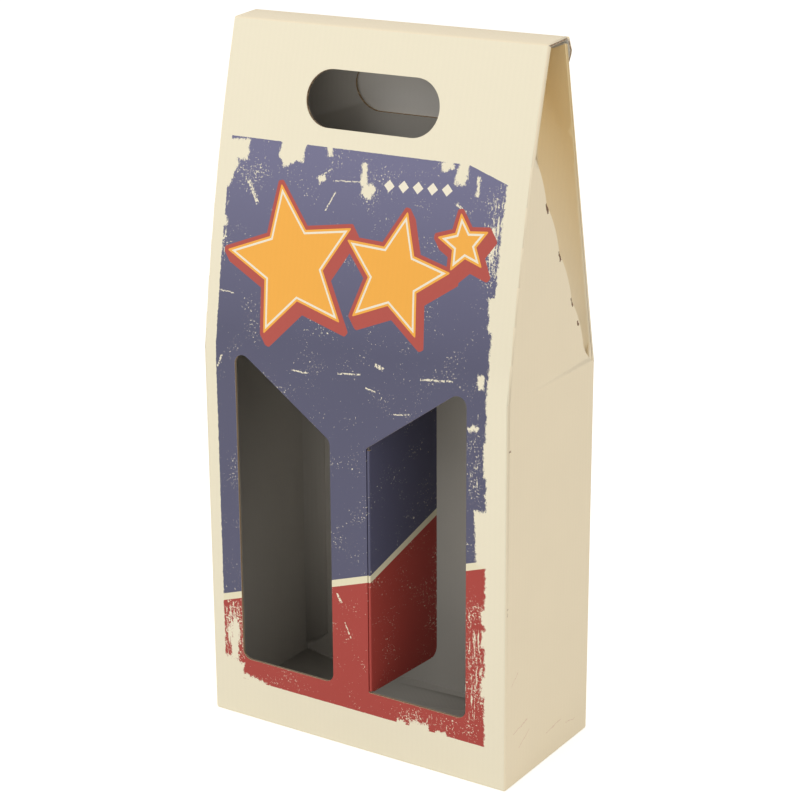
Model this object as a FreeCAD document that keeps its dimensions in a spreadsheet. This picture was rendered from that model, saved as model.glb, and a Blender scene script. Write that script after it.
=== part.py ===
# Gable-top carton for two bottles, folded from one sheet of fine-flute corrugated board.
# Millimetres, +Z up, +Y to the rear; the origin is the middle of the face that it stands on.
import FreeCAD, Part
import os
import Sketcher

doc = FreeCAD.newDocument("bottle_carton")

# Driving dimensions
sheet = doc.addObject("Spreadsheet::Sheet", "sizes")
SIZES = [
    ("board", 1.5, "thickness of the board"),
    ("width", 180, "outside width of the carton"),
    ("depth", 85, "outside depth of the carton"),
    ("wall_height", 202, "height at which the front and back panels start to lean"),
    ("ridge_height", 366.5, "height of the front fold of the ridge"),
    ("ridge_rise", 1.5, "how far the ridge climbs to its rear fold"),
    ("ridge_depth", 18, "front fold to rear fold of the ridge"),
    ("front_bow", 3, "how far the leaning front panel bows out from its chord"),
    ("fold_radius", 1.4, "outside radius of the upright folds"),
    ("base_radius", 1.3, "outside radius of the folds round the base"),
    ("lean_radius", 1.1, "outside radius of the side folds of the leaning panels"),
    ("ridge_radius", 1.2, "outside radius of the ridge's front fold"),
    ("fold_gap", 0.3, "clearance beside a fold that swings"),
    ("top_gap", 2, "raw top edge of the back panel below the ridge"),
    ("back_set", 0.4, "back panel inside the rear fold of the ridge, at the top"),
    ("pattern_shift", 1.8, "windows and handles left of the middle of the carton"),
    ("window_spacing", 21.8, "board left between the two windows"),
    ("window_width", 57.8, "width of each window"),
    ("window_foot", 33.8, "bottom edge of the windows above the base"),
    ("window_low_side", 132, "height of the inner, lower side of a window"),
    ("window_high_side", 172.8, "height of the outer side, up to its sharp corner"),
    ("window_radius", 5, "corner radius of the windows"),
    ("hinge_corner", 1, "small corner radius beside the divider's fold"),
    ("divider_angle", 86.4, "how far the divider is folded in from the window"),
    ("handle_length", 77, "length of the hand hole in the front panel"),
    ("handle_height", 28.6, "height of the hand hole in the front panel"),
    ("handle_drop", 35.4, "ridge to the middle of both hand holes, along the panel"),
    ("back_handle_length", 62, "length of the hand hole in the back panel"),
    ("back_handle_height", 25, "height of the hand hole in the back panel"),
    ("foot_rise", 10.5, "height of the gusset line's curved foot"),
    ("foot_reach", 12.2, "front-to-back reach of that foot"),
    ("foot_radius", 14, "radius of that foot"),
    ("line_rise", 116, "height above the walls at which the gusset line ends"),
    ("line_reach", 64.9, "how far in front of the rear fold the gusset line ends"),
    ("waves", 4, "waves along the gusset line"),
    ("wave_radius", 62, "radius of each wave"),
    ("lip", 0.3, "how far the side panel's edge stands proud of the gusset"),
    ("lip_cover", 1, "how far that edge overhangs the gusset"),
    ("seat", 0.3, "depth to which two glued or folded layers merge"),
    ("join_below", 12, "how far below the line's end the gusset leaves the line"),
    ("join_above", 4, "how far above the line's end it reaches the front panel"),
    ("dish_arcs", 4, "arcs that make up each round of the gusset's section"),
    ("leg_low", 1, "straight part of the gusset's section, near its foot"),
    ("leg_join", 3, "the same where it reaches the front panel"),
    ("leg_top", 22, "the same at the top"),
    ("flap_depth", 70, "depth of the closing flap"),
    ("flap_bulge", 9.6, "height from the ridge down to the flap's bend"),
    ("flap_stand", 2, "how far the flap stands off the back panel at its bend"),
    ("flap_shoulder", 7, "full-width part of the closing flap"),
    ("flap_taper", 24, "how much narrower each side of the flap is at its tip"),
    ("flap_radius", 10, "corner radius at the flap's tip"),
    ("seam", 0.8, "gap between the long bottom flaps"),
    ("seam_offset", 9, "how far the bottom seam steps off the middle"),
    ("seam_slant", 12, "half the length of the seam's slanted part"),
    ("inner_flap", 38, "reach of the side flaps inside the bottom"),
    ("inner_taper", 10, "corner cut of those flaps"),
    ("tab_width", 14, "width of the glued corner tab"),
    ("tab_clear", 8, "corner tab short of the base and of the bend"),
]
for row, (alias, value, note) in enumerate(SIZES, start=1):
    sheet.set("A%d" % row, alias)
    sheet.set("B%d" % row, str(value))
    sheet.set("C%d" % row, note)
    sheet.setAlias("B%d" % row, alias)
doc.recompute()


class Names(dict):
    def __missing__(self, alias):
        return "sizes." + alias


def formula(text):
    """An expression of the document, with each {alias} read from the sheet."""
    return text.format_map(Names())


def size(alias):
    return float(sheet.get(alias))


# Heights and lines that several panels share, as formulas of the sheet
FRONT_LEAN = "atan(({depth} - {ridge_depth}) / 2 / ({ridge_height} - {wall_height}))"
FRONT_CHORD = ("sqrt((({depth} - {ridge_depth}) / 2)^2"
               " + ({ridge_height} - {wall_height})^2)")
FRONT_RADIUS = "(" + FRONT_CHORD + "^2 / (8 * {front_bow}) + {front_bow} / 2)"
REAR_FOLD_HEIGHT = "({ridge_height} + {ridge_rise})"
REAR_TOP = "({ridge_depth} / 2 - {back_set})"
BACK_SLOPE = ("((({depth} / 2) - " + REAR_TOP + ") / (" + REAR_FOLD_HEIGHT
              + " - {board} - {wall_height}))")
BACK_LEAN = "atan(" + BACK_SLOPE + ")"


# A round end's radius is a hair over half its chord, which leaves its arc one centre
ROUND_END = " * 1.0001"


# Sketch helpers
def plane_of(body, role):
    return next(f for f in body.Origin.OriginFeatures if f.Role == role)


def new_sketch(body, name, role, along="0", turn=None):
    """A sketch on one of the body's origin planes, moved along its normal."""
    sketch = body.newObject("Sketcher::SketchObject", name)
    sketch.AttachmentSupport = [(plane_of(body, role), "")]
    sketch.MapMode = "FlatFace"
    sketch.setExpression("AttachmentOffset.Base.z", formula(along))
    if turn:
        axis, angle, base_y = turn
        sketch.AttachmentOffset = FreeCAD.Placement(
            FreeCAD.Vector(0, 0, 0), FreeCAD.Rotation(axis, 10))
        sketch.setExpression("AttachmentOffset.Base.z", formula(along))
        sketch.setExpression("AttachmentOffset.Base.y", formula(base_y))
        sketch.setExpression("AttachmentOffset.Rotation.Angle", formula(angle))
    return sketch


def value_of(expression):
    """The number that an expression gives now, to start a sketch near its solution."""
    return float(sheet.evalExpression(formula(expression)))


def pin(sketch, geo, point, place):
    """Holds one point of the sketch at two expressions."""
    for kind, expression in zip(("DistanceX", "DistanceY"), place):
        index = sketch.addConstraint(
            Sketcher.Constraint(kind, -1, 1, geo, point, value_of(expression)))
        sketch.setExpression("Constraints[%d]" % index, formula(expression))


def outline(sketch, places, arcs=None):
    """A closed outline through the places; arcs gives a radius, and the side of the
    chord that the arc bulges to, for the runs that are round."""
    arcs = arcs or {}
    spots = [FreeCAD.Vector(value_of(px), value_of(py), 0) for px, py in places]
    ids = []
    for i, start in enumerate(spots):
        end = spots[(i + 1) % len(spots)]
        if i not in arcs:
            ids.append(sketch.addGeometry(Part.LineSegment(start, end), False))
            continue
        radius_text, side = arcs[i]
        radius = value_of(radius_text)
        chord = end - start
        normal = FreeCAD.Vector(-chord.y, chord.x, 0).normalize() * side
        sagitta = radius - (radius ** 2 - (chord.Length / 2) ** 2) ** 0.5
        ids.append(sketch.addGeometry(
            Part.Arc(start, (start + end) / 2 + normal * sagitta, end), False))
    starts, ends = [], []
    for i, geo in enumerate(ids):
        forward = (sketch.getPoint(geo, 1) - spots[i]).Length < 1e-6
        starts.append(1 if forward else 2)
        ends.append(2 if forward else 1)
    for i, place in enumerate(places):
        following = (i + 1) % len(places)
        pin(sketch, ids[i], starts[i], place)
        sketch.addConstraint(Sketcher.Constraint(
            "Coincident", ids[i], ends[i], ids[following], starts[following]))
    for i, (radius_text, side) in arcs.items():
        index = sketch.addConstraint(
            Sketcher.Constraint("Radius", ids[i], value_of(radius_text)))
        sketch.setExpression("Constraints[%d]" % index, formula(radius_text))
    return ids


def mirror_x(places):
    return [("-(" + px + ")", py) for px, py in places]


def pad(body, name, sketch, length, middle=False, back=False):
    feature = body.newObject("PartDesign::Pad", name)
    feature.Profile = sketch
    feature.setExpression("Length", formula(length))
    if middle:
        feature.Midplane = True
    feature.Reversed = back
    doc.recompute()
    return feature


def pocket(body, name, sketch, length, middle=False, back=False):
    """A cut, checked to have taken something away."""
    before = body.Shape.Volume
    feature = body.newObject("PartDesign::Pocket", name)
    feature.Profile = sketch
    feature.setExpression("Length", formula(length))
    if middle:
        feature.Midplane = True
    feature.Reversed = back
    doc.recompute()
    if not body.Shape.Volume < before:
        raise RuntimeError(name + " cuts nothing")
    return feature


def fillet(body, name, radius, wanted):
    """Rounds the edges of the body that the test picks out."""
    base = body.Tip
    picked = ["Edge%d" % (i + 1) for i, edge in enumerate(base.Shape.Edges)
              if wanted(edge)]
    if not picked:
        raise RuntimeError(name + " finds no edge")
    feature = body.newObject("PartDesign::Fillet", name)
    feature.Base = (base, picked)
    feature.setExpression("Radius", formula(radius))
    doc.recompute()
    return feature


def runs_along(edge, axis):
    """Whether an edge runs along X, Y or Z and nowhere else."""
    box = edge.BoundBox
    spans = {"x": box.XLength, "y": box.YLength, "z": box.ZLength}
    return spans.pop(axis) > 0.1 and max(spans.values()) < 1e-4


# Lower half: a tube of four walls, its bottom flaps and the glued corner tab
def make_tube():
    body = doc.addObject("PartDesign::Body", "tube")
    ring = new_sketch(body, "tube_section", "XY_Plane")
    x0, y0 = "{width} / 2", "{depth} / 2"
    x1, y1 = x0 + " - {fold_radius}", y0 + " - {fold_radius}"
    outline(ring, [
        ("-(" + x1 + ")", "-(" + y0 + ")"), (x1, "-(" + y0 + ")"),
        (x0, "-(" + y1 + ")"), (x0, y1), (x1, y0), ("-(" + x1 + ")", y0),
        ("-(" + x0 + ")", y1), ("-(" + x0 + ")", "-(" + y1 + ")"),
    ], {1: ("{fold_radius}", -1), 3: ("{fold_radius}", -1),
        5: ("{fold_radius}", -1), 7: ("{fold_radius}", -1)})
    pad(body, "tube_block", ring, "{wall_height}")
    half = size("width") / 2
    fillet(body, "base_folds", "{base_radius}",
           lambda edge: edge.BoundBox.ZMax < 1e-4 and (
               edge.BoundBox.XLength > half or edge.BoundBox.YLength > 2))
    hollow = new_sketch(body, "tube_inside", "XY_Plane", "{board}")
    xi, yi = "{width} / 2 - {board}", "{depth} / 2 - {board}"
    rectangle = [("-(" + xi + ")", "-(" + yi + ")"), (xi, "-(" + yi + ")"),
                 (xi, yi), ("-(" + xi + ")", yi)]
    outline(hollow, rectangle)
    pocket(body, "tube_hollow", hollow, "{wall_height}", back=True)
    make_seam(body)
    make_inner_flaps(body)
    make_tab(body)
    return body


def make_seam(body):
    """The long bottom flaps meet along a stepped seam, the way a crash-lock bottom does."""
    seam = new_sketch(body, "bottom_seam", "XY_Plane")
    far, near = "{seam_offset} + {seam} / 2", "{seam_offset} - {seam} / 2"
    end = "{width} / 2 - 2 * {board}"
    outline(seam, [
        ("-(" + end + ")", near), ("-{seam_slant}", near),
        ("{seam_slant} - {seam} / 2", "-(" + far + ")"), (end, "-(" + far + ")"),
        (end, "-(" + near + ")"), ("{seam_slant} + {seam} / 2", "-(" + near + ")"),
        ("-{seam_slant} + {seam}", far), ("-(" + end + ")", far)])
    pocket(body, "bottom_seam_cut", seam, "{board}", back=True)


def make_inner_flaps(body):
    """The side flaps lie on the long ones, inside, and are glued to them."""
    for name, side in (("right", 1), ("left", -1)):
        sketch = new_sketch(body, name + "_bottom_flap_outline", "XY_Plane", "{board}")
        places = [
            ("{width} / 2 - {board}", "-({depth} / 2 - {board})"),
            ("{width} / 2 - {board}", "{depth} / 2 - {board}"),
            ("{width} / 2 - {board} - {inner_flap}", "{depth} / 2 - {board} - {inner_taper}"),
            ("{width} / 2 - {board} - {inner_flap}",
             "-({depth} / 2 - {board} - {inner_taper})")]
        outline(sketch, places if side > 0 else mirror_x(places))
        pad(body, name + "_bottom_flap", sketch, "{board}")


def make_tab(body):
    """The tab that closes the tube is glued inside the back panel, at the left corner."""
    sketch = new_sketch(body, "corner_tab_outline", "XZ_Plane", "-({depth} / 2 - {board})")
    left = "-({width} / 2 - {board})"
    inner = left + " + {tab_width}"
    outline(sketch, [
        (left, "{tab_clear}"), (inner, "2 * {tab_clear}"),
        (inner, "{wall_height} - 2 * {tab_clear}"), (left, "{wall_height} - {tab_clear}")])
    pad(body, "corner_tab", sketch, "{board}")


def window_places(side):
    """Outline of one window, from its inner foot round to its inner top."""
    inner = "{window_spacing} / 2"
    outer = inner + " + {window_width}"
    places = [(inner, "{window_foot}"), (outer, "{window_foot}"),
              (outer, "{window_foot} + {window_high_side}"),
              (inner, "{window_foot} + {window_low_side}")]
    if side < 0:
        places = mirror_x(places)
    return [(px + " - {pattern_shift}", py) for px, py in places]


def make_window(name, side):
    """The block that one window takes out of the front panel, its corners rounded."""
    body = doc.addObject("PartDesign::Body", name + "_window")
    sketch = new_sketch(body, name + "_window_outline", "XZ_Plane",
                        "{depth} / 2 - {board} - {seat}")
    outline(sketch, window_places(side))
    pad(body, name + "_window_block", sketch, "{board} + 2 * {seat}")
    fold_x = size("window_spacing") / 2 - size("pattern_shift")

    def at_fold(edge):
        return runs_along(edge, "y") and abs(edge.BoundBox.XMin - fold_x) < 0.01

    fillet(body, name + "_window_corners", "{window_radius}",
           lambda edge: runs_along(edge, "y") and not at_fold(edge))
    if side > 0:
        fillet(body, name + "_fold_corners", "{hinge_corner}", at_fold)
    return body


# Upper half: the leaning front panel with the ridge, and the leaning back panel
def handle_slot(body, name, along, turn, length, height, cut):
    """A hand hole with round ends, cut square to its leaning panel."""
    sketch = new_sketch(body, name + "_outline", "XZ_Plane", along, turn)
    middle, run = "-{pattern_shift}", "(" + length + " - " + height + ") / 2"
    half = height + " / 2"
    down = "-{handle_drop}"
    outline(sketch, [
        (middle + " - " + run, down + " - " + half), (middle + " + " + run, down + " - " + half),
        (middle + " + " + run, down + " + " + half), (middle + " - " + run, down + " + " + half)],
        {1: (half + ROUND_END, -1), 3: (half + ROUND_END, -1)})
    pocket(body, name, sketch, cut, middle=True)


def make_front_top():
    body = doc.addObject("PartDesign::Body", "front_top")
    section = new_sketch(body, "front_section", "YZ_Plane")
    slant = "{board} / cos(" + FRONT_LEAN + ")"
    rear_end = "{ridge_depth} / 2 - {board} / 2 - {fold_gap}"
    rise = "{ridge_rise} * ({ridge_depth} - {board} / 2 - {fold_gap}) / {ridge_depth}"
    outline(section, [
        ("-{depth} / 2", "{wall_height}"),
        ("-{depth} / 2 + {board}", "{wall_height}"),
        ("-{ridge_depth} / 2 + " + slant, "{ridge_height} - {board}"),
        (rear_end, "{ridge_height} + " + rise + " - {board}"),
        (rear_end, "{ridge_height} + " + rise),
        ("-{ridge_depth} / 2", "{ridge_height}"),
    ], {1: (FRONT_RADIUS + " - {board}", 1), 5: (FRONT_RADIUS, -1)})
    pad(body, "front_strip", section, "{width}", middle=True)
    side, top = size("width") / 2, size("ridge_height")
    front = -size("depth") / 2

    def outer_end(edge):
        box = edge.BoundBox
        return (box.XLength < 1e-4 and abs(abs(box.XMin) - side) < 1e-4
                and box.ZLength > 20 and box.YMin < front + 0.01)

    fillet(body, "front_side_folds", "{lean_radius}", outer_end)
    fillet(body, "ridge_front_fold", "{ridge_radius}",
           lambda edge: runs_along(edge, "x") and abs(edge.BoundBox.ZMax - top) < 1e-3)
    turn = (FreeCAD.Vector(1, 0, 0), "-" + FRONT_LEAN, "{ridge_height}")
    handle_slot(body, "front_handle", "{ridge_depth} / 2", turn, "{handle_length}",
                "{handle_height}", "2 * ({front_bow} + 2 * {board})")
    return body


def make_back_top():
    body = doc.addObject("PartDesign::Body", "back_top")
    section = new_sketch(body, "back_section", "YZ_Plane")
    top = REAR_FOLD_HEIGHT + " - {board} - {top_gap}"
    slant = "{board} / cos(" + BACK_LEAN + ")"
    top_y = REAR_TOP + " + " + BACK_SLOPE + " * {top_gap}"
    outline(section, [
        ("{depth} / 2 - {board}", "{wall_height}"), ("{depth} / 2", "{wall_height}"),
        (top_y, top), (top_y + " - " + slant, top)])
    pad(body, "back_strip", section, "{width}", middle=True)
    side, rear = size("width") / 2, size("depth") / 2

    def outer_end(edge):
        box = edge.BoundBox
        return (box.XLength < 1e-4 and abs(abs(box.XMin) - side) < 1e-4
                and box.ZLength > 20 and box.YMax > rear - 0.01)

    fillet(body, "back_side_folds", "{lean_radius}", outer_end)
    turn = (FreeCAD.Vector(1, 0, 0), BACK_LEAN, REAR_FOLD_HEIGHT)
    handle_slot(body, "back_handle", "-" + REAR_TOP, turn, "{back_handle_length}",
                "{back_handle_height}", "4 * {board}")
    return body


# Gable side: the side panel runs on up to a wavy line, and a dished gusset closes the rest
def line_y(rise):
    """Front-to-back place of the gusset line at a height above the walls."""
    return ("({depth} / 2 - {foot_reach} - ({line_reach} - {foot_reach})"
            " * (" + rise + " - {foot_rise}) / ({line_rise} - {foot_rise}))")


def back_inside(rise):
    return "({depth} / 2 - {board} / cos(" + BACK_LEAN + ") - " + BACK_SLOPE + " * (" + rise + "))"


def front_inside(rise):
    """Inner face of the bowed front panel at a height above the walls."""
    along = "(" + rise + " / cos(" + FRONT_LEAN + ") - " + FRONT_CHORD + " / 2)"
    sagitta = ("(sqrt(" + FRONT_RADIUS + "^2 - " + along + "^2) - " + FRONT_RADIUS
               + " + {front_bow})")
    return ("(-{depth} / 2 + " + rise + " * tan(" + FRONT_LEAN + ") - " + sagitta
            + " / cos(" + FRONT_LEAN + ") + {board} / cos(" + FRONT_LEAN + "))")


def make_side_panel(body):
    """The part of the side panel above the bend, up to its wavy cut edge."""
    sketch = new_sketch(body, "side_panel_outline", "YZ_Plane", "{width} / 2 - {board}")
    front = "-{depth} / 2 + {board} - {seat}"
    places = [(front, "{wall_height}"), ("{depth} / 2 - {fold_radius}", "{wall_height}"),
              ("{depth} / 2 - {foot_reach}", "{wall_height} + {foot_rise}")]
    arcs = {1: ("{foot_radius}", -1)}
    waves = int(size("waves"))
    for wave in range(1, waves + 1):
        rise = "({foot_rise} + ({line_rise} - {foot_rise}) * %d / %d)" % (wave, waves)
        places.append((line_y(rise), "{wall_height} + " + rise))
        arcs[wave + 1] = ("{wave_radius}", -1)
    places.append((front, "{wall_height} + {line_rise}"))
    outline(sketch, places, arcs)
    pad(body, "side_panel", sketch, "{board}")


def make_dish(body):
    """The gusset: a channel that deepens and then narrows from its foot to the ridge."""
    top = "({ridge_height} - {board} - {fold_gap} - {wall_height})"
    hidden = " - {lip_cover}"
    low, join = "({line_rise} - {join_below})", "({line_rise} + {join_above})"
    levels = [("foot", "0", "({depth} / 2 - {foot_reach} / 2)", "{leg_low}"),
              ("toe", "{foot_rise}", line_y("{foot_rise}") + hidden, "{leg_low}"),
              ("low", low, line_y(low) + hidden, "{leg_low}"),
              ("join", join, front_inside(join) + " + {board} - {seat}", "{leg_join}"),
              ("top", top, front_inside(top) + " + {board} - {seat}", "{leg_top}")]
    count = int(size("dish_arcs"))
    sketches = []
    for name, rise, front, leg in levels:
        sketch = new_sketch(body, name + "_section", "XY_Plane", "{wall_height} + " + rise)
        rear = "(" + back_inside(rise) + " - {board} + {seat})"
        mouth = "{width} / 2 - {lip}"
        turn_x = mouth + " - " + leg
        middle = "((" + rear + " + " + front + ") / 2)"
        inner = "((" + rear + " - (" + front + ")) / 2)"
        outer = "(" + inner + " + {board})"

        def on_round(radius, step):
            angle = "(180 deg * %d / {dish_arcs})" % step
            return ("%s - %s * sin(%s)" % (turn_x, radius, angle),
                    "%s - %s * cos(%s)" % (middle, radius, angle))

        places = [(mouth, front)]
        places += [on_round(inner, step) for step in range(count + 1)]
        places += [(mouth, rear), (mouth, rear + " + {board}")]
        places += [on_round(outer, step) for step in range(count, -1, -1)]
        places.append((mouth, "(" + front + ") - {board}"))
        arcs = {1 + step: (inner, 1) for step in range(count)}
        arcs.update({4 + count + step: (outer, -1) for step in range(count)})
        outline(sketch, places, arcs)
        sketches.append(sketch)
    doc.recompute()
    loft = body.newObject("PartDesign::AdditiveLoft", "dish")
    loft.Profile = sketches[0]
    loft.Sections = sketches[1:]
    loft.Ruled = True
    doc.recompute()


def make_gable_side():
    body = doc.addObject("PartDesign::Body", "gable_side")
    make_side_panel(body)
    make_dish(body)
    trim = new_sketch(body, "front_trim", "YZ_Plane")
    depth = "({board} - {seat})"
    slant = depth + " / cos(" + FRONT_LEAN + ")"
    outline(trim, [
        ("-{depth} / 2 + " + depth, "{wall_height}"),
        ("-{ridge_depth} / 2 + " + slant, "{ridge_height}"),
        ("-{depth}", "{ridge_height}"), ("-{depth}", "{wall_height}")],
        {0: (FRONT_RADIUS + " - " + depth, 1)})
    pocket(body, "front_trim_cut", trim, "{width}", back=True)
    return body


def make_carton():
    right = make_gable_side()
    left = doc.addObject("Part::Mirroring", "gable_side_left")
    left.Source = right
    left.Normal = FreeCAD.Vector(1, 0, 0)
    blank = doc.addObject("Part::MultiFuse", "folded_blank")
    blank.Shapes = [make_tube(), make_front_top(), make_back_top(), right, left]
    blank.Refine = True
    windows = doc.addObject("Part::MultiFuse", "windows")
    windows.Shapes = [make_window("left", -1), make_window("right", 1)]
    carton = doc.addObject("Part::Cut", "carton")
    carton.Base = blank
    carton.Tool = windows
    carton.Label = "carton"
    return carton


# The closing flap swings on the ridge's rear fold and lies over the back hand hole
def make_closing_flap():
    body = doc.addObject("PartDesign::Body", "closing_flap")
    body.Label = "closing_flap"
    section = new_sketch(body, "flap_section", "YZ_Plane")
    half = "{board} / 2"

    def off_back(drop, gap):
        """The flap's middle, that far below the ridge and that far off the back panel."""
        height = "(" + REAR_FOLD_HEIGHT + " - " + drop + ")"
        back = "{depth} / 2 - " + BACK_SLOPE + " * (" + height + " - {wall_height})"
        return "(" + back + " + (" + gap + " + " + half + ") / cos(" + BACK_LEAN + "))", height

    def lean_of(above, below):
        return "atan((%s - %s) / (%s - %s))" % (below[0], above[0], above[1], below[1])

    def beside(place, angle, side):
        sign = "+" if side > 0 else "-"
        return ("%s %s %s * cos(%s)" % (place[0], sign, half, angle),
                "%s %s %s * sin(%s)" % (place[1], sign, half, angle))

    fold = ("({ridge_depth} / 2)", "(" + REAR_FOLD_HEIGHT + " - " + half + ")")
    bend = off_back("{flap_bulge}", "{flap_stand}")
    tip = off_back("{flap_depth}", "{fold_gap}")
    upper, lower = lean_of(fold, bend), lean_of(bend, tip)
    middle = "((" + upper + " + " + lower + ") / 2)"
    outline(section, [
        beside(fold, upper, 1), beside(fold, upper, -1), beside(bend, middle, -1),
        beside(tip, lower, -1), beside(tip, lower, 1), beside(bend, middle, 1)],
        {0: (half + ROUND_END, 1)})
    pad(body, "flap_strip", section, "{width}", middle=True)
    for name, side in (("right", 1), ("left", -1)):
        sketch = new_sketch(body, name + "_taper_outline", "XZ_Plane")
        shoulder = REAR_FOLD_HEIGHT + " - {flap_shoulder}"
        foot = REAR_FOLD_HEIGHT + " - {flap_depth} - {board}"
        places = [("{width} / 2", shoulder), ("{width} / 2 + {board}", shoulder),
                  ("{width} / 2 + {board}", foot), ("{width} / 2 - {flap_taper}", foot)]
        outline(sketch, places if side > 0 else mirror_x(places))
        pocket(body, name + "_taper", sketch, "{depth}", back=False)
    low = min(v.Z for v in body.Shape.Vertexes)
    wide = max(abs(v.X) for v in body.Shape.Vertexes if v.Z < low + 3)

    def tip_corner(edge):
        box = edge.BoundBox
        return (box.ZMax < low + 3 and box.XLength < 2 and box.YLength > 1
                and abs(abs(box.Center.x) - wide) < 1)

    fillet(body, "flap_tip_corners", "{flap_radius}", tip_corner)
    return body


# The divider is cut from the right window and swings on the window's inner edge
def make_divider():
    body = doc.addObject("PartDesign::Body", "divider_flap")
    body.Label = "divider_flap"
    sketch = new_sketch(body, "divider_outline", "XZ_Plane")
    start = "{board} / 2 + {fold_gap}"
    reach = "{window_width} - 2 * {fold_gap} - {board} / 2"
    slope = "(({window_high_side} - {window_low_side}) / {window_width})"
    low = "{window_foot} + {fold_gap}"
    high = "{window_foot} + {window_low_side} - {fold_gap} / cos(atan(" + slope + "))"
    # Beside the fold its two ends are cut level, clear of the window's corners as it swings
    fold_low = "({window_foot} + {hinge_corner})"
    fold_high = "({window_foot} + {window_low_side} - {hinge_corner})"
    outline(sketch, [
        ("0", fold_low), ("{board}", fold_low), ("{board}", low), (reach, low),
        (reach, high + " + " + slope + " * (" + reach + " + " + start + ")"),
        ("{board}", high + " + " + slope + " * ({board} + " + start + ")"),
        ("{board}", fold_high), ("0", fold_high)])
    pad(body, "divider_plate", sketch, "{board}", middle=True)
    far = value_of(reach)
    fillet(body, "divider_corners", "{window_radius}",
           lambda edge: runs_along(edge, "y") and abs(edge.BoundBox.XMin - far) < 0.01)
    roll = new_sketch(body, "divider_fold_section", "XY_Plane", fold_low)
    circle = roll.addGeometry(
        Part.Circle(FreeCAD.Vector(0, 0, 0), FreeCAD.Vector(0, 0, 1), size("board") / 2), False)
    roll.addConstraint(Sketcher.Constraint("Coincident", circle, 3, -1, 1))
    index = roll.addConstraint(Sketcher.Constraint("Diameter", circle, size("board")))
    roll.setExpression("Constraints[%d]" % index, formula("{board}"))
    pad(body, "divider_fold", roll, fold_high + " - " + fold_low)
    body.setExpression("Placement.Base.x", formula(
        "{window_spacing} / 2 - {pattern_shift} + " + start))
    body.setExpression("Placement.Base.y", formula("-{depth} / 2 + {board} / 2"))
    body.Placement = FreeCAD.Placement(
        body.Placement.Base, FreeCAD.Rotation(FreeCAD.Vector(0, 0, 1), 45))
    body.setExpression("Placement.Rotation.Angle", formula("{divider_angle} * 1 deg"))
    return body


parts = [make_carton(), make_closing_flap(), make_divider()]
doc.recompute()

for item in doc.Objects:
    if "Invalid" in item.State or "Error" in item.State:
        raise RuntimeError(item.Name + " failed to build")
os.makedirs("parts", exist_ok=True)
for part in parts:
    if part.Shape.isNull() or not part.Shape.isValid():
        raise RuntimeError(part.Label + " has no valid shape")
    part.Shape.exportStep("parts/" + part.Label + ".step")
    print(part.Label, len(part.Shape.Solids), "solid", round(part.Shape.Volume), "mm3")
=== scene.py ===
import bpy
import bmesh
import math
from mathutils import Matrix, Vector


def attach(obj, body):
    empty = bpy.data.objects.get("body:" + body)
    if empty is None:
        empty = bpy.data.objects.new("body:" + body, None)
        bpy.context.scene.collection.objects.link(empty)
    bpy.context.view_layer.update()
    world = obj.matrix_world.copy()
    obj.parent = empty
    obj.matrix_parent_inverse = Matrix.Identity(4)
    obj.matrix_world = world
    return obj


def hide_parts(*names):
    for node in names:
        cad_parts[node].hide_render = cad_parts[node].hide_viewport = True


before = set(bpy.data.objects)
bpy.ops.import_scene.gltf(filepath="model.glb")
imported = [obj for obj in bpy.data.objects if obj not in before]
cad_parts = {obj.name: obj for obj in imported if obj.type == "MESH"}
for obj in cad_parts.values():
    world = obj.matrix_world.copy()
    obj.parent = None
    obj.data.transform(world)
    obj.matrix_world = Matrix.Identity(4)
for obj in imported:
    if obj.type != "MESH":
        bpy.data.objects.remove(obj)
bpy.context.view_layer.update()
mm = 0.001
mmPerMetre = 1000.0


def linear(hexColour):
    # sRGB hex to the linear values that a shader takes
    parts = [int(hexColour[i:i + 2], 16) / 255 for i in (1, 3, 5)]
    return tuple(c / 12.92 if c <= 0.04045 else ((c + 0.055) / 1.055) ** 2.4 for c in parts) + (1.0,)


def add(tree, kind, *values, **settings):
    # one node, its settings, and its inputs in order; a node stands for its first output, None leaves an input
    made = tree.nodes.new("ShaderNode" + kind)
    named = settings.pop("named", {})
    for name, value in settings.items():
        setattr(made, name, value)
    for place, value in list(enumerate(values)) + list(named.items()):
        if value is None:
            continue
        if isinstance(value, bpy.types.Node):
            value = value.outputs[0]
        if isinstance(value, bpy.types.NodeSocket):
            tree.links.new(value, made.inputs[place])
        else:
            made.inputs[place].default_value = value
    return made


# The folded blank, as the scene needs it to tell its faces apart (mm)
box = {
    "halfWidth": 90.0, "halfDepth": 42.5, "board": 1.5, "wallHeight": 202.0, "ridgeHeight": 366.5,
    "ridgeRise": 1.5, "ridgeDepth": 18.0, "frontBow": 3.0, "backSet": 0.4,
    "hingeX": 10.15, "hingeY": -41.75, "dividerAngle": 86.4, "sharpAngle": 24, "flutePitch": 3.0,
}
halfRun = box["halfDepth"] - box["ridgeDepth"] / 2
chord = math.hypot(halfRun, box["ridgeHeight"] - box["wallHeight"])
leanSin, leanCos = halfRun / chord, (box["ridgeHeight"] - box["wallHeight"]) / chord
bowRadius = chord ** 2 / (8 * box["frontBow"]) + box["frontBow"] / 2
backTop = box["ridgeDepth"] / 2 - box["backSet"]
backSlope = (box["halfDepth"] - backTop) / (box["ridgeHeight"] + box["ridgeRise"] - box["board"] - box["wallHeight"])
backCos = 1 / math.hypot(1, backSlope)


def frontDepth(p):
    # how far a point lies behind the outer face of the front panel, square to it
    if p.z <= box["wallHeight"]:
        return p.y + box["halfDepth"]
    y, z = p.y + box["halfDepth"], p.z - box["wallHeight"]
    along, across = y * leanSin + z * leanCos, y * leanCos - z * leanSin
    return bowRadius - math.hypot(along - chord / 2, across - (bowRadius - box["frontBow"]))


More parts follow.
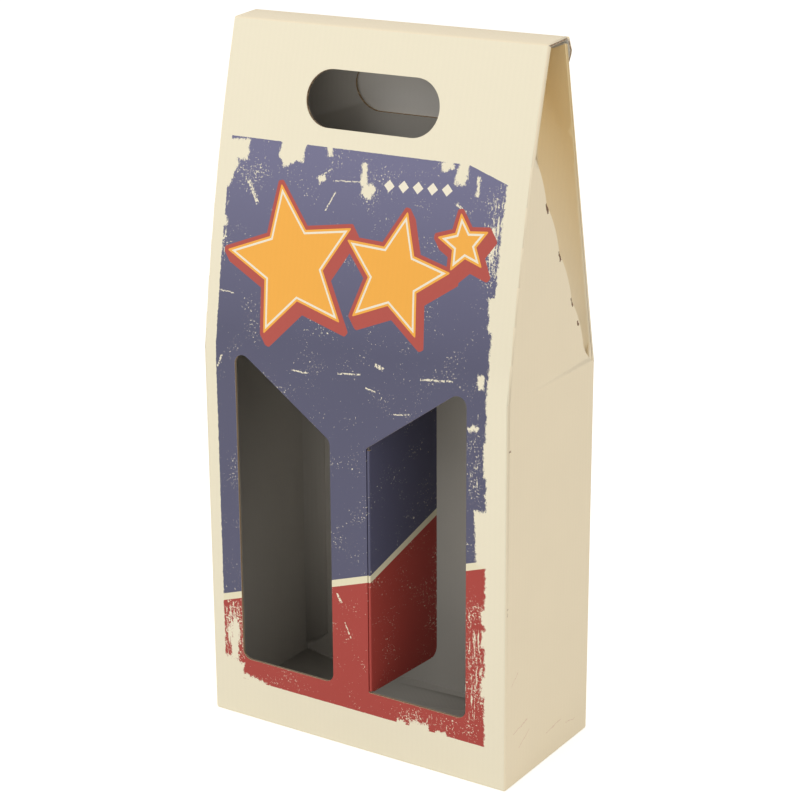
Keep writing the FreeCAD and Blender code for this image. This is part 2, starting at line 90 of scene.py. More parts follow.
def backDepth(p):
    # the same from the outer face of the back panel
    if p.z <= box["wallHeight"]:
        return box["halfDepth"] - p.y
    return (box["halfDepth"] - backSlope * (p.z - box["wallHeight"]) - p.y) * backCos


def sheetHeight(p):
    # height up the flat sheet, along the leaning panel above the bend
    if p.z <= box["wallHeight"]:
        return p.z
    y, z = p.y + box["halfDepth"], p.z - box["wallHeight"]
    return box["wallHeight"] + y * leanSin + z * leanCos


# Print of the front panel (mm on the flat sheet: across from the middle, up from the base)
artwork = {
    "left": -82.4, "right": 77.6, "foot": 21.8, "head": 311.0, "cornerFrom": 56.6, "cornerSlope": 0.324,
    "stripeHeight": 67.9, "stripeFrom": -77.0, "stripeSlope": 0.331, "stripeHalf": 1.9,
    "blue": "#53546f", "blueHead": "#707091", "red": "#a93d35", "stripe": "#ece6c8",
    "fill": "#f7b347", "inline": "#f4eedb", "shadow": "#b44f46", "cream": "#f1ebd4",
    "stars": [(-39, 252, 40, 15), (21, 254, 32, -8), (58, 274, 15, 12)],
    "starWaist": 0.47, "inlineIn": 1.6, "inlineWide": 1.0, "shadowOut": 2.0, "shadowMove": (3.0, -4.2),
    "diamonds": [(13.5, 296.4), (21.6, 296.8), (29.7, 297.2), (37.8, 297.6), (45.9, 298)], "diamondHalf": 3.0,
    # chips in the ink: across, up, half width, half height, turn in degrees
    "chips": [(-79.5, 304.6, 8.5, 5.0, 4), (-83, 293.5, 4.4, 7.4, -18), (-84, 268.5, 3.2, 2.6, 0),
              (-44.6, 307.5, 7.4, 5.0, -5), (-46, 303, 4.6, 2.6, 20), (-22.8, 310.4, 1.4, 3.4, 8),
              (-25.6, 295.3, 2.2, 1.7, 25), (-1.4, 300, 1.7, 5.5, 3), (1.4, 292.6, 3.4, 3.4, -20),
              (44.4, 309.6, 3.4, 2.4, 18), (53.0, 306.8, 3.0, 5.4, -8), (62.5, 301.5, 0.9, 4.6, 2),
              (74.2, 210.3, 1.6, 3.6, 6), (70.6, 187, 3.0, 1.2, 12), (77.5, 132, 5.6, 14, 3), (78.4, 243, 3.4, 8, 4),
              (78.2, 91, 2.6, 3.6, 0), (78, 79.5, 2.2, 4.4, 0), (78.2, 54, 2.4, 5.4, 0), (78.4, 172, 2.0, 9, 0),
              (-75.4, 43, 2.2, 11, -5), (-79.0, 26.0, 8.0, 6.4, -14), (-64, 22.6, 8.0, 1.7, -8),
              (39.6, 22.8, 5.6, 2.0, 0), (28.6, 21.8, 2.6, 1.6, 0), (52.6, 21.6, 3.4, 1.7, 0)],
    # long scratches: across, up, half length, half width, turn in degrees
    "scratches": [(-66, 284.5, 6.4, 1.0, -58), (54.6, 290.6, 3.4, 0.8, -35), (-0.6, 202.6, 6.8, 0.4, 7),
                  (49.6, 207.4, 9.2, 0.45, 6), (-30, 199, 5.2, 0.4, 0), (16.8, 208.7, 2.8, 0.9, -16),
                  (-8.3, 82.2, 2.6, 0.6, -62), (-3.2, 65.5, 4.4, 0.3, -66), (-22.5, 299.5, 2.6, 0.35, 35),
                  (-19.5, 285, 5.4, 0.35, 62), (30, 187, 5.0, 0.3, 10), (-80, 197, 3.6, 0.5, 66),
                  (-78, 233, 5.0, 0.3, -4), (12, 196.5, 3.0, 0.4, -12), (-9, 296, 10.0, 0.25, 4)],
    # where the blue pales towards the head, and how the stars' edges are drawn
    "fade": (215.0, 305.0), "tipCut": 0.4, "tipRound": 1.2, "shadowSteps": (0, 0.2, 0.4, 0.6, 0.8, 1),
    # patches worn to upright streaks: across, up, half width, half height, strength
    "patches": [(74, 278, 9, 30, 0.22), (72, 62, 12, 56, 0.17), (-77, 47, 9, 30, 0.25), (-82, 262, 4, 30, 0.17),
                (72, 165, 7, 50, 0.12), (-66, 294, 20, 16, 0.09), (8, 296, 34, 14, 0.09), (44, 27, 36, 8, 0.12)],
}


# Wear of the print: noises per mm, how far they push an edge (mm), and the values above which ink is gone
inkWear = {
    "shoveStretch": (1.0, 0.55, 1.0), "shoveScale": 0.42, "shoveRoughness": 0.86,
    "torn": (9.0, 11.0, 0.0), "frayed": (2.8, 2.8, 0.0), "crisp": 0.25,
    "speckScale": 0.85, "brokenAbove": 0.47, "patchFrom": 0.2, "patchTo": 1.1,
    "streakStretch": (1.0, 0.15, 1.0), "streakScale": 0.8, "streakAbove": 0.72,
    "gatherScale": 0.06, "gather": (0.42, 0.66, 0.0, 0.09), "patchShare": 0.5, "speckAbove": 0.70,
}


def emptyMaterial(name):
    m = bpy.data.materials.new(name)
    m.use_nodes = True
    m.node_tree.nodes.clear()
    return m, m.node_tree


def within(tree, vector, across, up, halfWidth, halfHeight, turn=0.0):
    # 1 inside a turned rectangle
    local = add(tree, "Mapping", vector, (across, up, 0), (0, 0, math.radians(turn)), (halfWidth, halfHeight, 1),
                vector_type="TEXTURE")
    parts = add(tree, "SeparateXYZ", add(tree, "VectorMath", local, operation="ABSOLUTE"))
    reach = add(tree, "Math", parts.outputs[0], parts.outputs[1], operation="MAXIMUM")
    return add(tree, "Math", reach, 1.0, operation="LESS_THAN")


def joined(tree, values, operation="MAXIMUM"):
    # one value from many, the largest unless told otherwise
    result = values[0]
    for value in values[1:]:
        result = add(tree, "Math", result, value, operation=operation)
    return result


def printedLiner():
    # White-top liner, flexo printed and matt: flat inks with a worn look of chips, scratches and upright streaks
    m, t = emptyMaterial("whiteTopLinerPrinted")
    a, w = artwork, inkWear
    place = add(t, "Attribute", attribute_name="printPlace").outputs["Vector"]
    parts = add(t, "SeparateXYZ", place)
    u, v = parts.outputs[0], parts.outputs[1]
    # ragged edges: the place pushed about by a few mm, coarse for chips and fine for scratches
    upright = add(t, "VectorMath", place, w["shoveStretch"], operation="MULTIPLY")
    shove = add(t, "TexNoise", named={"Vector": upright, "Scale": w["shoveScale"], "Detail": 8.0,
                                      "Roughness": w["shoveRoughness"]}).outputs["Color"]
    shove = add(t, "VectorMath", shove, (0.5, 0.5, 0.5), operation="SUBTRACT")
    torn = add(t, "VectorMath", shove, w["torn"], place, operation="MULTIPLY_ADD")
    frayed = add(t, "VectorMath", shove, w["frayed"], place, operation="MULTIPLY_ADD")
    tornParts = add(t, "SeparateXYZ", torn)
    frayedParts = add(t, "SeparateXYZ", frayed)
    # distance inside the printed field
    cornerHeight = a["head"] + a["cornerFrom"] * a["cornerSlope"]
    corner = add(t, "Math", u, -a["cornerSlope"], cornerHeight, operation="MULTIPLY_ADD")
    head = add(t, "Math", a["head"], corner, operation="MINIMUM")
    crispV = add(t, "Math", frayedParts.outputs[1], v, operation="SUBTRACT")
    crispV = add(t, "Math", crispV, w["crisp"], v, operation="MULTIPLY_ADD")
    sides = [add(t, "Math", head, crispV, operation="SUBTRACT"),
             add(t, "Math", crispV, a["foot"], operation="SUBTRACT"),
             add(t, "Math", frayedParts.outputs[0], a["left"], operation="SUBTRACT"),
             add(t, "Math", a["right"], tornParts.outputs[0], operation="SUBTRACT")]
    ink = add(t, "Math", joined(t, sides, "MINIMUM"), 0.0, operation="GREATER_THAN")
    gone = [within(t, torn, *chip) for chip in a["chips"]]
    # scratches are broken where a fine noise lets ink through
    speck = add(t, "TexNoise", named={"Vector": place, "Scale": w["speckScale"], "Detail": 4.0, "Roughness": 0.7})
    broken = add(t, "Math", speck, w["brokenAbove"], operation="GREATER_THAN")
    scratched = joined(t, [within(t, frayed, *scratch) for scratch in a["scratches"]])
    gone.append(add(t, "Math", scratched, broken, operation="MULTIPLY"))
    # upright streaks gather in the patches, small specks everywhere
    weights = []
    for across, up, halfWidth, halfHeight, strength in a["patches"]:
        local = add(t, "Mapping", place, (across, up, 0), None, (halfWidth, halfHeight, 1), vector_type="TEXTURE")
        reach = add(t, "VectorMath", local, operation="LENGTH").outputs["Value"]
        weights.append(add(t, "MapRange", reach, w["patchFrom"], w["patchTo"], strength, 0.0))
    patch = joined(t, weights)
    tall = add(t, "VectorMath", place, w["streakStretch"], operation="MULTIPLY")
    streak = add(t, "TexNoise", named={"Vector": tall, "Scale": w["streakScale"], "Detail": 5.0, "Roughness": 0.75})
    gather = add(t, "TexNoise", named={"Vector": place, "Scale": w["gatherScale"], "Detail": 2.0})
    gather = add(t, "MapRange", gather, *w["gather"])
    streaks = add(t, "Math", streak, patch, operation="ADD")
    streaks = add(t, "Math", streaks, w["streakAbove"], operation="GREATER_THAN")
    specks = add(t, "Math", patch, w["patchShare"], gather, operation="MULTIPLY_ADD")
    specks = add(t, "Math", specks, speck, operation="ADD")
    specks = add(t, "Math", specks, w["speckAbove"], operation="GREATER_THAN")
    gone += [streaks, specks]
    kept = add(t, "Math", 1.0, joined(t, gone), operation="SUBTRACT")
    # fields
    startHeight = a["stripeHeight"] - a["stripeFrom"] * a["stripeSlope"]
    rise = add(t, "Math", u, a["stripeSlope"], startHeight, operation="MULTIPLY_ADD")
    over = add(t, "Math", v, rise, operation="SUBTRACT")
    isBlue = add(t, "Math", over, 0.0, operation="GREATER_THAN")
    isStripe = add(t, "Math", add(t, "Math", over, operation="ABSOLUTE"), a["stripeHalf"], operation="LESS_THAN")
    fade = add(t, "MapRange", v, *a["fade"], 0.0, 1.0)
    blue = add(t, "MixRGB", fade.outputs[0], linear(a["blue"]), linear(a["blueHead"]))
    field = add(t, "MixRGB", isBlue, linear(a["red"]), blue)
    field = add(t, "MixRGB", isStripe, field, linear(a["stripe"]))
    # motif: stars with a cream line inside their edge, drawn out below right into a shadow
    shadows, fills, lines = [], [], []
    for cx, cy, radius, tilt in a["stars"]:
        inner = radius * a["starWaist"]
        ex, ey = inner * math.cos(math.pi / 5) - radius, inner * math.sin(math.pi / 5)
        size = math.hypot(ex, ey)
        nx, ny = ey / size, -ex / size
        for step in a["shadowSteps"]:
            centre = (cx + step * a["shadowMove"][0], cy + step * a["shadowMove"][1], 0)
            local = add(t, "Mapping", place, centre, (0, 0, math.radians(tilt)), (1, 1, 1), vector_type="TEXTURE")
            reach = add(t, "VectorMath", local, operation="LENGTH").outputs["Value"]
            axes = add(t, "SeparateXYZ", local)
            turn = add(t, "Math", axes.outputs[0], axes.outputs[1], operation="ARCTAN2")
            turn = add(t, "Math", add(t, "Math", turn, math.tau, operation="ADD"), math.pi / 5, operation="PINGPONG")
            swing = add(t, "Math", add(t, "Math", turn, math.atan2(ny, nx), operation="SUBTRACT"), operation="COSINE")
            edge = add(t, "Math", reach, swing, -radius * nx, operation="MULTIPLY_ADD")
            tip = add(t, "Math", reach, radius - a["tipCut"], operation="SUBTRACT")
            edge = add(t, "Math", edge, tip, a["tipRound"], operation="SMOOTH_MAX")
            shadows.append(add(t, "Math", edge, a["shadowOut"], operation="LESS_THAN"))
            if step == 0:
                fills.append(add(t, "Math", edge, 0.0, operation="LESS_THAN"))
                fromLine = add(t, "Math", add(t, "Math", edge, a["inlineIn"], operation="ADD"), operation="ABSOLUTE")
                lines.append(add(t, "Math", fromLine, a["inlineWide"] / 2, operation="LESS_THAN"))
    for cx, cy in a["diamonds"]:
        du = add(t, "Math", add(t, "Math", u, cx, operation="SUBTRACT"), operation="ABSOLUTE")
        dv = add(t, "Math", add(t, "Math", v, cy, operation="SUBTRACT"), operation="ABSOLUTE")
        lines.append(add(t, "Math", add(t, "Math", du, dv, operation="ADD"), a["diamondHalf"], operation="LESS_THAN"))
    shadow, fill, line = joined(t, shadows), joined(t, fills), joined(t, lines)
    field = add(t, "MixRGB", shadow, field, linear(a["shadow"]))
    field = add(t, "MixRGB", fill, field, linear(a["fill"]))
    field = add(t, "MixRGB", line, field, linear(a["inline"]))
    # the stars' solid inks and lines aren't worn
    kept = joined(t, [kept, shadow, line])
    ink = add(t, "Math", ink, kept, operation="MULTIPLY")
    colour = add(t, "MixRGB", ink, linear(a["cream"]), field)
    lined(t, colour, place, u)
    return m


# Liner: share of the flutes, fibres and blotches in its colour and height (noises per mm, metres of relief)
liner = {"fibreScale": 1.6, "tone": 0.985, "waveTone": 0.004, "fibreTone": 0.03, "waveHeight": 0.4,
         "fibreHeight": 0.8, "relief": 0.0004, "roughness": 0.62,
         "blotchScale": 0.03, "blotchTone": 0.05, "blotchBase": 0.975}


def flutes(t, across):
    # the flutes as a wave of 3 mm pitch across the board
    turns = add(t, "Math", across, math.tau / box["flutePitch"], operation="MULTIPLY")
    return add(t, "Math", turns, operation="SINE")


def lined(t, colour, place, across, strength=0.02):
    # the flutes' 3 mm pitch hardly shows through as upright lines in colour and height
    wave = flutes(t, across)
    fibre = add(t, "TexNoise", named={"Vector": place, "Scale": liner["fibreScale"], "Detail": 4.0})
    tone = add(t, "Math", wave, liner["waveTone"], liner["tone"], operation="MULTIPLY_ADD")
    tone = add(t, "Math", fibre, liner["fibreTone"], tone, operation="MULTIPLY_ADD")
    shade = add(t, "VectorMath", colour, named={"Scale": tone}, operation="SCALE")
    height = add(t, "Math", fibre, liner["fibreHeight"], operation="MULTIPLY")
    height = add(t, "Math", wave, liner["waveHeight"], height, operation="MULTIPLY_ADD")
    bump = add(t, "Bump", named={"Height": height, "Strength": strength, "Distance": liner["relief"]})
    shader = add(t, "BsdfPrincipled", named={"Base Color": shade, "Normal": bump, "Roughness": liner["roughness"]})
    add(t, "OutputMaterial", shader)


# Wear and painted shade on the right side (mm: back from the middle, up from the base)
sideWearAndShade = {
    # nicks where the wavy line was left uncut, torn to brown fibre, with painted shadow along the cut line below them:
    # back, up, half length, half width, turn in degrees
    "nicksAndShadowLine": [(-8.6, 289.6, 2.8, 0.8, -68), (4.4, 264.0, 2.8, 0.8, -68), (17.4, 238.4, 2.4, 0.7, -68),
              (23.9, 226.0, 1.4, 0.5, -66)],
    # painted shade: darker lines along creases in the side, one from the wavy line's foot down to the rear corner
    "creaseShade": [(36.4, 207.0, 7.4, 0.22, -44), (-28, 30, 7, 0.25, 12), (-24, 22, 6, 0.2, 30), (6, 16, 8, 0.22, 8),
                 (-34, 58, 4, 0.2, 40), (24, 12, 5, 0.2, -10)],
    "crushed": [(-41.6, 178.5, 1.6, 0.6, 15), (-41.8, 96, 2.4, 0.3, 80)],
    "nickAndShadowColour": "#6b4a2c", "creaseShadeColour": "#e2cab2", "crushedColour": "#a58f78",
    "shoveScale": 0.5, "frayed": (2.4, 2.4, 0.0),
}


def plainBoard(name, hexColour, strength=0.02, wear=None, paintedShade=None):
    # Unprinted matt liner of one colour, with marks of wear and painted shade lines, or with painted shade that grows
    # browner from one height to another
    m, t = emptyMaterial(name)
    place = add(t, "VectorMath", add(t, "TexCoord").outputs["Object"], named={"Scale": mmPerMetre}, operation="SCALE")
    parts = add(t, "SeparateXYZ", place)
    across = add(t, "Math", parts.outputs[0], parts.outputs[1], operation="ADD")
    blotch = add(t, "TexNoise", named={"Vector": place, "Scale": liner["blotchScale"], "Detail": 3.0})
    tone = add(t, "Math", blotch, liner["blotchTone"], liner["blotchBase"], operation="MULTIPLY_ADD")
    base = linear(hexColour)[:3]
    # painted shade: the colour turns browner with height, for the shade in the gusset's recess under the ridge
    if paintedShade:
        paintedShadeHex, fromHeight, toHeight = paintedShade
        height = add(t, "MapRange", parts.outputs[2], fromHeight, toHeight, 0.0, 1.0)
        base = add(t, "MixRGB", height.outputs[0], linear(hexColour), linear(paintedShadeHex))
    colour = add(t, "VectorMath", base, named={"Scale": tone}, operation="SCALE")
    if wear:
        onRight = add(t, "Math", parts.outputs[0], 0.0, operation="GREATER_THAN")
        flat = add(t, "CombineXYZ", parts.outputs[1], parts.outputs[2], 0.0)
        shove = add(t, "TexNoise", named={"Vector": place, "Scale": wear["shoveScale"], "Detail": 4.0}).outputs["Color"]
        shove = add(t, "VectorMath", shove, (0.5, 0.5, 0.5), operation="SUBTRACT")
        frayed = add(t, "VectorMath", shove, wear["frayed"], flat, operation="MULTIPLY_ADD")
        # marks of wear, with painted shadow along the wavy line and painted shade in the side's creases
        for marks, hexMark in (("nicksAndShadowLine", "nickAndShadowColour"), ("creaseShade", "creaseShadeColour"), ("crushed", "crushedColour")):
            marked = joined(t, [within(t, frayed, *mark) for mark in wear[marks]])
            marked = add(t, "Math", marked, onRight, operation="MULTIPLY")
            colour = add(t, "MixRGB", marked, colour, linear(wear[hexMark]))
    lined(t, colour, place, across, strength)
    return m


# Cut edge: colours, and shares of the board's thickness from the outer face in
# the gap colour is painted shade in the hollow flutes
cutEdge = {"gap": "#7d6750", "medium": "#bda283", "outer": "#dccdb2", "inner": "#b5ab9c",
           "outerTo": 0.17, "innerFrom": 0.85, "waveReach": 0.27, "mediumHalf": 0.13,
           "fibreScale": 1.8, "fibreTone": 0.5, "tone": 0.75, "relief": 0.0003, "roughness": 0.85}


def cutBoard():
    # Cut edge of fine-flute board: pale liner, brown fluting medium in 3 mm waves with dark gaps of painted shade in
    # the hollow flutes, grey liner
    m, t = emptyMaterial("cutFluteEdge")
    depth = add(t, "Attribute", attribute_name="boardDepth").outputs["Fac"]
    place = add(t, "VectorMath", add(t, "TexCoord").outputs["Object"], named={"Scale": mmPerMetre}, operation="SCALE")
    parts = add(t, "SeparateXYZ", place)
    across = add(t, "Math", parts.outputs[0], parts.outputs[1], operation="ADD")
    e = cutEdge
    middle = add(t, "Math", flutes(t, across), e["waveReach"], 0.5, operation="MULTIPLY_ADD")
    gap = add(t, "Math", add(t, "Math", depth, middle, operation="SUBTRACT"), operation="ABSOLUTE")
    medium = add(t, "Math", gap, e["mediumHalf"], operation="LESS_THAN")
    fibre = add(t, "TexNoise", named={"Vector": place, "Scale": e["fibreScale"], "Detail": 4.0})
    outer = add(t, "Math", depth, e["outerTo"], operation="LESS_THAN")
    inner = add(t, "Math", depth, e["innerFrom"], operation="GREATER_THAN")
    # painted shade: the dark gap colour between the waves of the medium
    colour = add(t, "MixRGB", medium, linear(e["gap"]), linear(e["medium"]))
    colour = add(t, "MixRGB", outer, colour, linear(e["outer"]))
    colour = add(t, "MixRGB", inner, colour, linear(e["inner"]))
    tone = add(t, "Math", fibre, e["fibreTone"], e["tone"], operation="MULTIPLY_ADD")
    colour = add(t, "VectorMath", colour, named={"Scale": tone}, operation="SCALE")
    bump = add(t, "Bump", named={"Height": fibre, "Strength": 0.3, "Distance": e["relief"]})
    shader = add(t, "BsdfPrincipled", named={"Base Color": colour, "Normal": bump, "Roughness": e["roughness"]})
    add(t, "OutputMaterial", shader)
    return m


finishes = {
    "outside": plainBoard("whiteTopLinerCream", "#f4e9cf"),
    "front": printedLiner(),
    "inside": plainBoard("greyTestliner", "#b1aea8", 0.06),
    "cut": cutBoard(),
    # painted shade: the side's base colour is a warmer, darker copy of the outside cream, for the dimmer, warmer light
    # on the side
    "side": plainBoard("whiteTopLinerSideWearAndShade", "#f2e6cb", wear=sideWearAndShade),
    # painted light: a lighter copy of the grey liner, for the flap lit through the handle holes
    "flapInside": plainBoard("greyTestlinerFlapPaintedLight", "#e2e1de", 0.06),
    # painted shade: the gusset's cream turns browner from 235 to 325 mm up, for the shade in its recess; its base is
    # the side's darker, warmer copy
    "gusset": plainBoard("whiteTopLinerRecessPaintedShade", "#f2e6cb", paintedShade=("#e6cf9f", 235.0, 325.0)),
}
slotOf = {name: place for place, name in enumerate(finishes)}
print("materials made")


def copyOf(node):
    # the rigid node's mesh, joined where its faces meet, with the layers that the materials read
    bm = bmesh.new()
    bm.from_mesh(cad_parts[node].data)
    bmesh.ops.remove_doubles(bm, verts=bm.verts, dist=1e-6)
    bm.normal_update()
    return bm, bm.verts.layers.float_vector.new("printPlace"), bm.verts.layers.float.new("boardDepth")


def finishPiece(bm, name, node, body):
    # the piece in place of its rigid node, on its body and in the board's slot
    mesh = bpy.data.meshes.new(name)
    bm.to_mesh(mesh)
    bm.free()
    for finish in finishes.values():
        mesh.materials.append(finish)
    # faces square to the side are flat, which keeps the shading of the folds beside them off most of the long ones
    mesh.polygons.foreach_set("use_smooth", [abs(p.normal.x) < 0.99999 for p in mesh.polygons])
    mesh.set_sharp_from_angle(angle=math.radians(box["sharpAngle"]))
    piece = bpy.data.objects.new(name, mesh)
    bpy.context.scene.collection.objects.link(piece)
    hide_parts(node)
    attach(piece, body)
    print(name, "made,", len(mesh.polygons), "faces")


# Gusset: where its channel's round is centred at a few heights, and how high its cut line runs (mm)
gusset = {"heights": [202.0, 212.5, 306.0, 322.0, 364.7], "back": [38.1, 33.5, 0.5, -1.4, -0.3],
          "out": [88.7, 88.7, 88.7, 86.7, 67.7], "lineEnd": 318.0}


def facesChannel(c, n, side):
    # whether a face of the gusset looks into its channel, open to the outside
    heights = gusset["heights"]
    step = next((i for i in range(1, len(heights)) if c.z <= heights[i]), len(heights) - 1)
    share = min(1.0, (c.z - heights[step - 1]) / (heights[step] - heights[step - 1]))
    low, high = step - 1, step
    back, out = (gusset[key][low] + share * (gusset[key][high] - gusset[key][low]) for key in ("back", "out"))
    return (side * out - c.x) * n.x + (back - c.y) * n.y > 0


# Foot of the gusset's line: the cut edge runs out nearly straight to the rear corner (mm, back and up)
foot = {"low": (41.1, 202.0), "high": (30.3, 212.5), "radius": 14.0, "sag": 1.0,
        "nearArc": 0.06, "ends": 0.05, "planes": (-90.0, -89.7, 89.7, 90.0), "flatness": 0.0005}


def straightenFoot(bm):
    # moves the cut edge of the side panels from the rigid body's arc onto a line with a slight sag
    low, high = Vector(foot["low"]), Vector(foot["high"])
    span = (high - low).length
    along = (high - low) / span
    square = Vector((along.y, -along.x))
    centre = (low + high) / 2 - square * math.sqrt(foot["radius"] ** 2 - span ** 2 / 4)
    moved = 0
    for vert in bm.verts:
        p = vert.co * mmPerMetre
        spot = Vector((p.y, p.z))
        atPanel = abs(p.x) >= box["halfWidth"] - box["board"] - foot["ends"]
        if not atPanel or abs((spot - centre).length - foot["radius"]) > foot["nearArc"]:
            continue
        run = (spot - low).dot(along)
        if foot["ends"] < run < span - foot["ends"] and (spot - centre).dot(square) > 0:
            spot = low + along * run - square * foot["sag"] * 4 * run / span * (1 - run / span)
            vert.co = (vert.co.x, spot.x * mm, spot.y * mm)
            moved += 1
    # the flat faces beside the moved edge are joined and cut anew, so that none folds over
    for across in foot["planes"]:
        flat = [f for f in bm.faces if all(abs(v.co.x * mmPerMetre - across) < foot["flatness"] for v in f.verts)]
        joinedFaces = bmesh.ops.dissolve_faces(bm, faces=flat, use_verts=False)["region"]
        bmesh.ops.triangulate(bm, faces=joinedFaces)
    bm.normal_update()
    print("foot of the gusset's line straightened,", moved, "points")


# Carton: what tells its faces apart (mm, and shares of the unit normal)
carton = {
    "skin": 0.12, "aboveBend": 0.05, "outward": 0.3, "square": 0.9, "cutInset": 0.05, "panelHalf": 80.0,
    "ridgeDeep": 3.1, "ridgeFront": -10.0, "ridgeRear": 8.2, "ridgeSkin": 0.25, "ridgeUp": 0.5,
    "rearFold": 2.9, "rearFoldFrom": 206.0, "stripFlank": 2.0, "stripBack": 6.0, "stripForward": -0.2,
    "baseFold": 1.35, "baseRim": 1.4, "baseLevel": 0.99, "cornerFold": 1.45, "cornerOut": 0.5,
    "hingeReach": 1.2, "hingeTop": 166.0, "lineInset": 0.1, "lineFlat": 0.4, "lineBack": 0.2, "lineFold": 0.3,
    "topFlank": 6.0, "topFrom": 290.0, "topFront": 8.0, "floorBoards": 3.1, "floorUpright": 0.4, "floorRim": 2.0,
    "channelFrom": 55.0, "channelSkin": 0.2, "panelInside": -0.95, "ridgeBand": 2.2, "ridgeRun": 12.0,
}


def cartonFinish(c, n):
    # the finish of a face from its middle (mm) and its normal
    k, b = carton, box["board"]
    side = 1 if c.x > 0 else -1
    front, back, flank = frontDepth(c), backDepth(c), box["halfWidth"] - abs(c.x)
    upper = c.z > box["wallHeight"] + k["aboveBend"]
    if upper and box["ridgeHeight"] - c.z < k["ridgeDeep"] and k["ridgeFront"] < c.y < k["ridgeRear"]:
        if n.z > k["ridgeUp"] or front < k["ridgeSkin"] or n.y > k["square"]:
            return "outside"
        return "cut" if abs(n.x) > k["square"] else "inside"
    if front < k["skin"] and n.y < -k["outward"]:
        return "front"
    if back < k["skin"] and n.y > k["outward"]:
        return "outside"
    if flank < k["skin"] and side * n.x > k["outward"]:
        return "gusset" if upper and back < k["rearFold"] and c.z > k["rearFoldFrom"] else "side"
    # the gusset's rear strip, 0.3 mm below the panel's face
    if (upper and flank < k["stripFlank"] and back < k["stripBack"]
            and (side * n.x > k["outward"] or n.y < k["stripForward"])):
        return "gusset"
    # underside and the folds around it
    if c.z < k["skin"] or c.z < k["baseFold"] and (
            flank < k["baseRim"] or min(front, back) < k["baseRim"] and abs(n.z) < k["baseLevel"]):
        return "outside"
    # corner folds
    if flank < k["cornerFold"] and min(front, back) < k["cornerFold"] and side * n.x + abs(n.y) > k["cornerOut"]:
        return "outside"
    # the window's folded side, at the divider
    atHinge = abs(c.x - box["hingeX"]) < k["hingeReach"] and n.x > k["square"] and c.z < k["hingeTop"]
    if front < b - k["cutInset"] and atHinge:
        return "front"
    if min(front, back) < b - k["cutInset"] and abs(c.x) < k["panelHalf"]:
        return "cut"
    # wavy cut edge of the side panel, creased at its foot
    if (upper and flank < b - k["lineInset"] and c.z < gusset["lineEnd"] and abs(n.x) < k["lineFlat"]
            and n.y > k["lineBack"] and back > k["lineFold"]):
        return "cut" if c.z > foot["high"][1] else "side"
    if upper and flank < k["topFlank"] and c.z > k["topFrom"] and front < k["topFront"]:
        return "gusset"
    # cut ends of the bottom flaps
    if c.z < k["floorBoards"] and abs(n.z) < k["floorUpright"]:
        return "cut"
    panelInside = n.x * side < k["panelInside"] and flank < b + k["channelSkin"]
    if upper and abs(c.x) > k["channelFrom"] and min(front, back) > b + k["channelSkin"] and not panelInside:
        return "gusset" if facesChannel(c, n, side) else "inside"
    return "inside"


def makeCarton():
    bm, printPlace, boardDepth = copyOf("carton")
    straightenFoot(bm)
    for face in bm.faces:
        face.material_index = slotOf[cartonFinish(face.calc_center_median() * mmPerMetre, face.normal)]
    for vert in bm.verts:
        p = vert.co * mmPerMetre
        vert[printPlace] = (p.x, sheetHeight(p), 0)
        front, back, flank = frontDepth(p), backDepth(p), box["halfWidth"] - abs(p.x)
        if p.z < carton["floorBoards"] and min(front, back, flank) > carton["floorRim"]:
            depth = p.z
        elif p.z > box["ridgeHeight"] - carton["ridgeBand"]:
            depth = box["ridgeHeight"] + (p.y + box["ridgeDepth"] / 2) / carton["ridgeRun"] - p.z
        else:
            depth = min(front, back, flank)
        vert[boardDepth] = max(0.0, min(1.0, depth / box["board"]))
    finishPiece(bm, "cartonBoard", "carton", "box")


# Closing flap: its outer face leans as the back panel does (metres, and shares of the unit normal)
closing = {"outward": 0.35, "foldFrom": 0.3635, "foldEnds": 0.5}


def makeClosingFlap():
    bm, _, boardDepth = copyOf("closing_flap")
    for face in bm.faces:
        n = face.normal
        outward = n.y * backCos + n.z * (1 - backCos)
        atFold = face.calc_center_median().z > closing["foldFrom"] and abs(n.x) < closing["foldEnds"]
        if outward > closing["outward"] or atFold:
            face.material_index = slotOf["outside"]
        else:
            face.material_index = slotOf["flapInside" if outward < -closing["outward"] else "cut"]
    for vert in bm.verts:
        outside = any(f.material_index == slotOf["outside"] for f in vert.link_faces)
        vert[boardDepth] = 0.0 if outside else 1.0
    finishPiece(bm, "closingFlapBoard", "closing_flap", "closing")


# Divider: the print carries on over its fold, onto the face that looks to the right window
divider = {"printed": 0.35, "fold": -0.5}


def makeDivider():
    bm, printPlace, boardDepth = copyOf("divider_flap")
    angle = math.radians(box["dividerAngle"])
    away, printed = Vector((math.cos(angle), math.sin(angle), 0)), Vector((math.sin(angle), -math.cos(angle), 0))
    for face in bm.faces:
        towards = face.normal.dot(printed)
        if towards > divider["printed"] or face.normal.dot(away) < divider["fold"]:
            face.material_index = slotOf["front"]
        else:
            face.material_index = slotOf["inside" if towards < -divider["printed"] else "cut"]
    for vert in bm.verts:
        p = vert.co * mmPerMetre
        reach = Vector((p.x - box["hingeX"], p.y - box["hingeY"], 0))
        vert[printPlace] = (box["hingeX"] + reach.dot(away), p.z, 0)
        vert[boardDepth] = max(0.0, min(1.0, 0.5 - reach.dot(printed) / box["board"]))
    finishPiece(bm, "dividerBoard", "divider_flap", "divider")


makeCarton()
makeClosingFlap()
makeDivider()

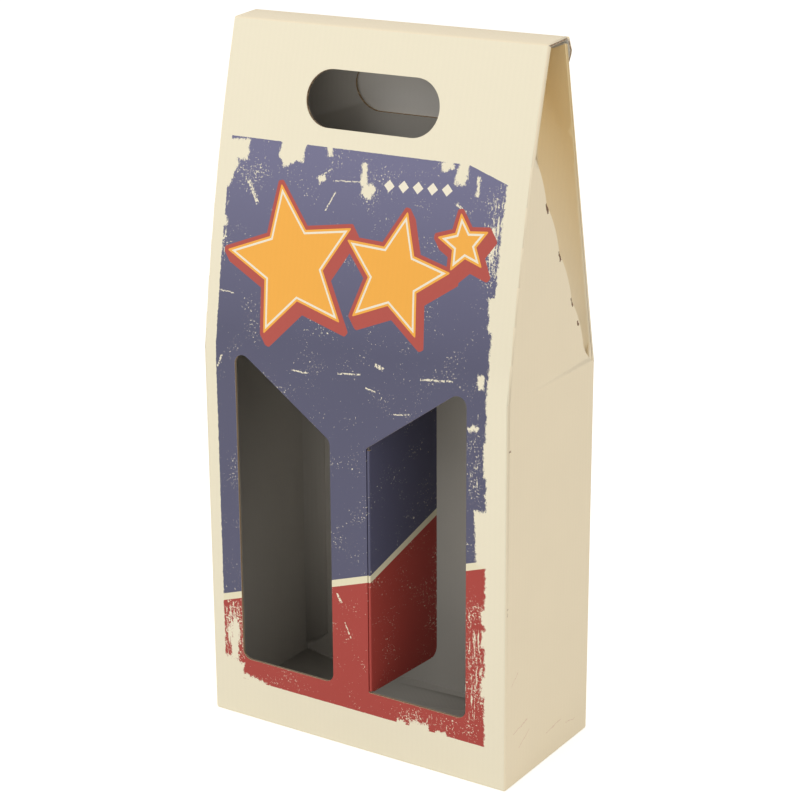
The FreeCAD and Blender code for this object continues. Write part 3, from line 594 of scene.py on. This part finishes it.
# Floor, light and camera
stage = {"floor": "#f4f4f2", "floorHalf": 6.0, "floorLift": 0.5, "world": 0.72, "worldTint": "#fff9f1",
         "keyPower": 9.5, "keySize": 1.1, "keyPlace": (-0.75, -1.45, 1.35),
         "fillPower": 2.6, "fillSize": 1.2, "fillPlace": (1.7, -0.6, 1.0), "aim": (0, 0, 0.18)}
bm = bmesh.new()
bmesh.ops.create_grid(bm, x_segments=1, y_segments=1, size=stage["floorHalf"])
floorMesh = bpy.data.meshes.new("floor")
bm.to_mesh(floorMesh)
bm.free()
floor = bpy.data.objects.new("floor", floorMesh)
bpy.context.scene.collection.objects.link(floor)
m, t = emptyMaterial("paleFloor")                                      # matt backdrop paper
rays = add(t, "LightPath")
seen = joined(t, [rays.outputs[ray] for ray in ("Is Camera Ray", "Is Glossy Ray", "Is Transmission Ray")])
# brings the open floor up to white, less in the shadow
lift = add(t, "Math", seen, stage["floorLift"], operation="MULTIPLY")
glow = add(t, "Emission", (1, 1, 1, 1), lift)
add(t, "OutputMaterial", add(t, "AddShader", add(t, "BsdfDiffuse", linear(stage["floor"])), glow))
floorMesh.materials.append(m)

world = bpy.data.worlds.new("studio")
bpy.context.scene.world = world
world.use_nodes = True
t = world.node_tree
t.nodes.clear()
rays = add(t, "LightPath")
direct = joined(t, [rays.outputs[ray] for ray in ("Is Camera Ray", "Is Glossy Ray", "Is Transmission Ray")])
lit = add(t, "Background", linear(stage["worldTint"]), stage["world"])
white = add(t, "Background", (1, 1, 1, 1), 1.0)
add(t, "OutputWorld", add(t, "MixShader", direct, lit, white))


def addLamp(name, place, power, size):
    lamp = bpy.data.lights.new(name, "AREA")
    lamp.energy, lamp.size = power, size
    lampObject = bpy.data.objects.new(name, lamp)
    aim = Vector(stage["aim"]) - Vector(place)
    lampObject.matrix_world = Matrix.Translation(place) @ aim.to_track_quat("-Z", "Y").to_matrix().to_4x4()
    bpy.context.scene.collection.objects.link(lampObject)


addLamp("keyLamp", stage["keyPlace"], stage["keyPower"], stage["keySize"])
addLamp("fillLamp", stage["fillPlace"], stage["fillPower"], stage["fillSize"])

# fitted to the photograph: metres, degrees and mm of lens
view = {"place": (0.57786, -0.88492, 0.52142), "turn": 33.0724, "down": 18.0155, "roll": -0.339,
        "lens": 98.46, "sensor": 36.0}
camera = bpy.data.cameras.new("camera")
camera.lens, camera.sensor_width = view["lens"], view["sensor"]
cameraObject = bpy.data.objects.new("camera", camera)
bpy.context.scene.collection.objects.link(cameraObject)
cameraObject.matrix_world = (Matrix.Translation(view["place"])
                             @ Matrix.Rotation(math.radians(view["turn"]), 4, "Z")
                             @ Matrix.Rotation(math.radians(90 - view["down"]), 4, "X")
                             @ Matrix.Rotation(math.radians(view["roll"]), 4, "Z"))
bpy.context.scene.camera = cameraObject
bpy.context.scene.view_settings.view_transform = "Standard"
print("stage, lamps and camera made")
